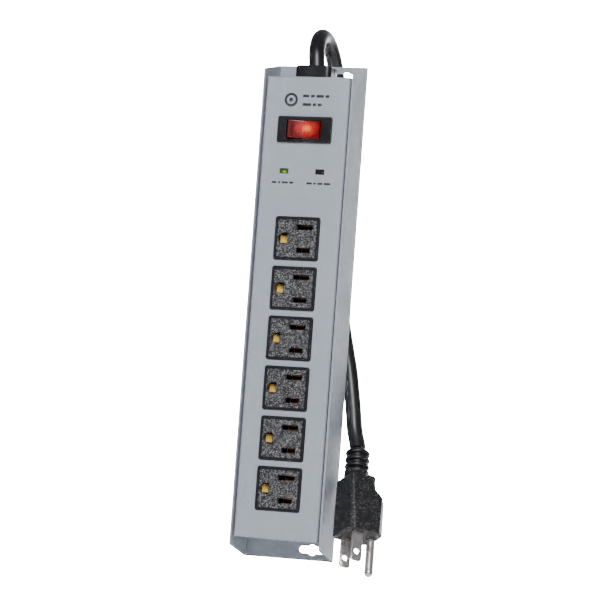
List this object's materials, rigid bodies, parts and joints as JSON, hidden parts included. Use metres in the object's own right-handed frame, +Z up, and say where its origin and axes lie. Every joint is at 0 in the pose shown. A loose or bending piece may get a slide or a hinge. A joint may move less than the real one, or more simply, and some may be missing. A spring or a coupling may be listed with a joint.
{
  "type": "power strip",
  "caption": "Slim metal power strip with grounded outlets in a row, a lit rocker switch, indicator windows, keyhole mounting tabs and a bound supply cord with a grounded plug",
  "frame": {"origin": "middle of the back plate's rear face, where the strip meets what it is fastened to", "axes": "X to the right seen from the front, Y to the back, out of the rear face, Z up along the strip towards the cord end"},
  "size_m": [0.0871, 0.0663, 0.306],
  "materials": {
    "paint": "satin light blue-grey powder coat",
    "black_plastic": "fine spark-textured black",
    "plug_plastic": "moulded black, light grain",
    "black_rubber": "satin black PVC",
    "contact_brass": "bright stamped brass",
    "zinc_steel": "zinc plated",
    "nickel_plate": "bright nickel plate",
    "red_lens": "translucent red, lit from inside",
    "green_lens": "translucent green, lit from behind",
    "smoked_lens": "smoked, unlit",
    "lamp_glass": "clear",
    "board_green": "solder-masked laminate",
    "varistor_blue": "dipped coating",
    "white_nylon": "natural nylon",
    "fish_paper": "grey insulating paper",
    "white_insulation": "white PVC",
    "green_insulation": "green PVC"
  },
  "bodies": {
    "strip": {"base_channel": "paint", "front_cover": "paint", "cover_rivet_1": "zinc_steel", "cover_rivet_2": "zinc_steel", "cover_rivet_3": "zinc_steel", "cover_rivet_4": "zinc_steel", "outlet_block_1": "black_plastic", "outlet_block_2": "black_plastic", "outlet_block_3": "black_plastic", "outlet_block_4": "black_plastic", "outlet_block_5": "black_plastic", "outlet_block_6": "black_plastic", "ground_contact_1": "contact_brass", "ground_contact_2": "contact_brass", "ground_contact_3": "contact_brass", "ground_contact_4": "contact_brass", "ground_contact_5": "contact_brass", "ground_contact_6": "contact_brass", "bus_hot": "contact_brass", "bus_neutral": "contact_brass", "bus_ground": "contact_brass", "bus_carrier": "white_nylon", "insulation_sheet": "fish_paper", "switch_housing": "black_plastic", "switch_pivot_pin": "zinc_steel", "switch_lamp": "lamp_glass", "switch_terminal_1": "contact_brass", "switch_terminal_2": "contact_brass", "switch_terminal_3": "contact_brass", "indicator_lens_green": "green_lens", "indicator_lens_dark": "smoked_lens", "indicator_led_1": "lamp_glass", "indicator_led_2": "lamp_glass", "surge_board": "board_green", "varistor_1": "varistor_blue", "varistor_2": "varistor_blue", "varistor_3": "varistor_blue", "thermal_fuse": "zinc_steel", "strain_relief_front": "black_plastic", "strain_relief_rear": "black_plastic", "strain_relief_collar": "black_plastic", "lead_line": "black_rubber", "lead_neutral": "white_insulation", "lead_switched": "black_rubber", "lead_ground": "green_insulation", "ground_screw": "zinc_steel", "ground_ring": "zinc_steel", "ground_strap": "contact_brass", "cord_upper": "black_rubber", "cord_hank": "black_rubber", "hank_tie": "black_plastic", "cord_tail": "black_rubber", "plug_body": "plug_plastic", "plug_strain_relief": "black_rubber", "plug_blade_neutral": "nickel_plate", "plug_blade_hot": "nickel_plate", "plug_ground_pin": "nickel_plate"},
    "rocker": {"switch_rocker": "red_lens"}
  },
  "joints": [
    {"name": "rocker_tilt", "type": "hinge", "parent": "strip", "child": "rocker", "pos_m": [-0.0004, -0.0275, 0.0986], "axis": [0, 0, 1], "range_deg": [-20, 0]}
  ]
}
